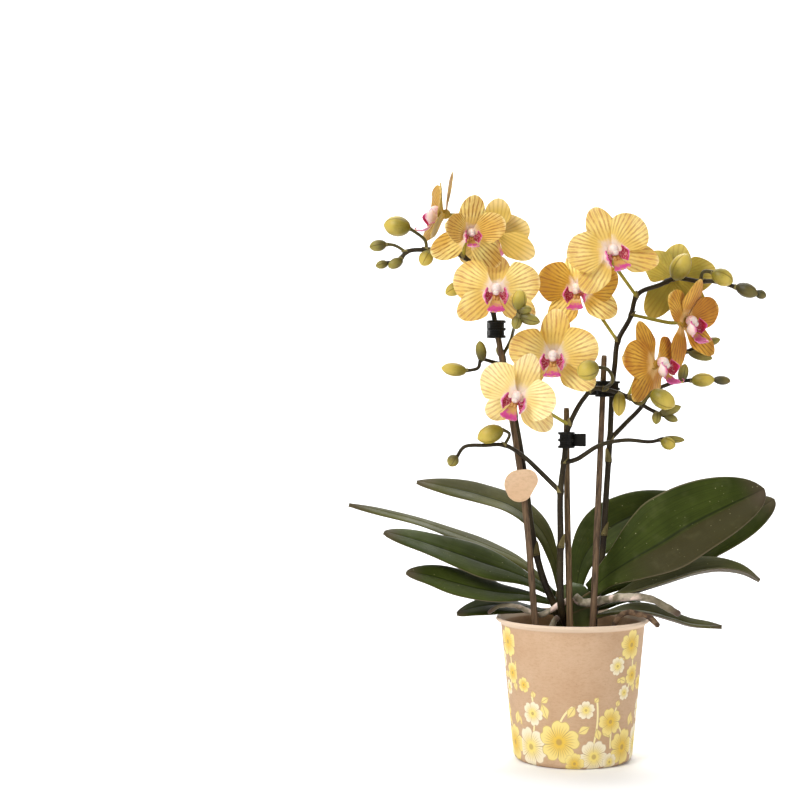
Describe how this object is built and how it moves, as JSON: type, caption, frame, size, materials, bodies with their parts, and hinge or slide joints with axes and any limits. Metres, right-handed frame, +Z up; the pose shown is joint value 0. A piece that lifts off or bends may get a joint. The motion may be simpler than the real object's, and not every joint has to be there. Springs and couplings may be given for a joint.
{
  "type": "potted orchid",
  "caption": "Potted moth orchid: arching flower spikes with open blooms and buds, tied to sticks with clips, broad leaves and aerial roots in bark, in a tapering card cover pot.",
  "frame": {"origin": "middle of the cover pot's flat base", "axes": "+Z up along the pot's axis, the blooms face -Y, the broad leaves spread along X"},
  "size_m": [0.2746, 0.1036, 0.3698],
  "materials": {
    "card": "matt natural card with a printed flower pattern",
    "clear_plastic": "thin clear plastic",
    "bark": "rough dark bark chips",
    "leaf": "thick satin leaf, greyish brown below",
    "root": "matt silvery skin with brown ends",
    "stick": "matt brown stake",
    "clip": "satin black",
    "tag_card": "bare smooth card",
    "spike": "satin olive-brown stems with yellow-green buds",
    "bloom": "soft yellow petals with fine tan veins",
    "lip": "waxy crimson and pale pink"
  },
  "bodies": {
    "root": {"cover_pot": "card", "grow_pot": "clear_plastic", "bark": "bark", "crown": "leaf", "leaf_left_upper": "leaf", "leaf_left_back": "leaf", "leaf_left_front": "leaf", "leaf_left_lower": "leaf", "leaf_left_rim": "leaf", "leaf_right_front": "leaf", "leaf_right_under": "leaf", "leaf_right_back": "leaf", "leaf_right_arched": "leaf", "leaf_right_rim": "leaf", "leaf_right_small": "leaf", "root_left": "root", "root_right": "root", "root_dry": "root", "root_tip": "root", "stick_left": "stick", "stick_middle": "stick", "stick_right": "stick", "clip_left": "clip", "clip_middle": "clip", "clip_right": "clip", "tag": "tag_card", "spike_left": "spike", "spike_middle": "spike", "spike_right": "spike", "bloom_01": "bloom", "lip_01": "lip", "bloom_02": "bloom", "lip_02": "lip", "bloom_03": "bloom", "lip_03": "lip", "bloom_04": "bloom", "lip_04": "lip", "bloom_05": "bloom", "lip_05": "lip", "bloom_06": "bloom", "lip_06": "lip", "bloom_07": "bloom", "lip_07": "lip", "bloom_08": "bloom", "lip_08": "lip", "bloom_09": "bloom", "lip_09": "lip", "bloom_10": "bloom", "lip_10": "lip", "bloom_11": "bloom", "lip_11": "lip"}
  },
  "joints": []
}
